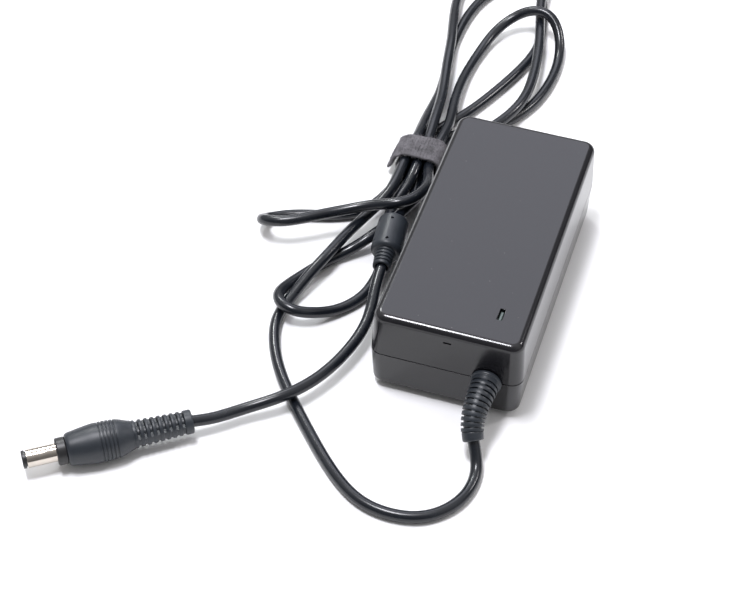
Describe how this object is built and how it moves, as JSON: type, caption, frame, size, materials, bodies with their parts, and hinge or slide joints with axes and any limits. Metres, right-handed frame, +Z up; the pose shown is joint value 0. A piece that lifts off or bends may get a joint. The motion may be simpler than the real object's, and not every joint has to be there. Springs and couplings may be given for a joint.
{
  "type": "laptop power adapter",
  "caption": "Rectangular laptop power adapter with a mains inlet and a coaxial output plug, its output cord looped and held by a hook-and-loop strap.",
  "frame": {"origin": "on the table plane, under the centre of the case's bounding box", "axes": "+Z up from the table to the case's top face; +Y along the case from the output cord's end to the mains inlet; +X across the case"},
  "size_m": [0.133, 0.2878, 0.031],
  "materials": {
    "case_plastic": "satin textured black",
    "component_black": "satin",
    "soft_black": "matt moulded",
    "cord_jacket": "smooth, slightly glossy",
    "foot_rubber": "matt",
    "blank_label": "satin film",
    "nickel_plate": "polished",
    "contact_brass": "polished",
    "zinc_steel": "zinc plated",
    "sink_aluminium": "rolled",
    "copper_wire": "enamelled",
    "dark_ferrite": "sintered",
    "board_laminate": "satin",
    "insulating_film": "satin",
    "blue_ceramic": "satin",
    "yellow_tape": "satin",
    "brown_resin": "satin",
    "light_pipe_clear": "clear",
    "led_green": "clear tinted",
    "wire_red": "smooth",
    "wire_white": "smooth",
    "wire_green": "smooth",
    "strap_tape": "looped pile"
  },
  "bodies": {
    "root": {"upper_case": "case_plastic", "lower_case": "case_plastic", "rubber_foot_1": "foot_rubber", "rubber_foot_2": "foot_rubber", "rubber_foot_3": "foot_rubber", "rubber_foot_4": "foot_rubber", "rating_label": "blank_label", "light_pipe": "light_pipe_clear", "led": "led_green", "inlet_housing": "component_black", "line_pin": "nickel_plate", "neutral_pin": "nickel_plate", "earth_pin": "nickel_plate", "line_wire": "component_black", "neutral_wire": "wire_white", "earth_wire": "wire_green", "main_board": "board_laminate", "insulation_sheet": "insulating_film", "fuse": "brown_resin", "thermistor": "blue_ceramic", "x_capacitor": "yellow_tape", "choke_core": "dark_ferrite", "choke_winding_1": "copper_wire", "choke_winding_2": "copper_wire", "bridge_rectifier": "component_black", "bulk_capacitor": "component_black", "primary_heat_sink": "sink_aluminium", "mosfet": "component_black", "mosfet_screw": "zinc_steel", "transformer_core": "dark_ferrite", "transformer_bobbin": "brown_resin", "transformer_winding": "yellow_tape", "secondary_heat_sink": "sink_aluminium", "output_rectifier": "component_black", "output_rectifier_screw": "zinc_steel", "output_capacitor_1": "component_black", "output_capacitor_2": "component_black", "output_choke": "dark_ferrite", "y_capacitor": "blue_ceramic", "optocoupler": "component_black", "control_ic": "component_black", "output_wire_positive": "wire_red", "output_wire_negative": "component_black", "output_strain_relief": "soft_black", "output_cord": "cord_jacket", "bead_overmould": "soft_black", "ferrite_core": "dark_ferrite", "plug_body": "soft_black", "plug_collar": "component_black", "plug_barrel": "nickel_plate", "plug_insulator_ring": "component_black", "plug_inner_contact": "contact_brass", "cable_strap": "strap_tape"}
  },
  "joints": []
}
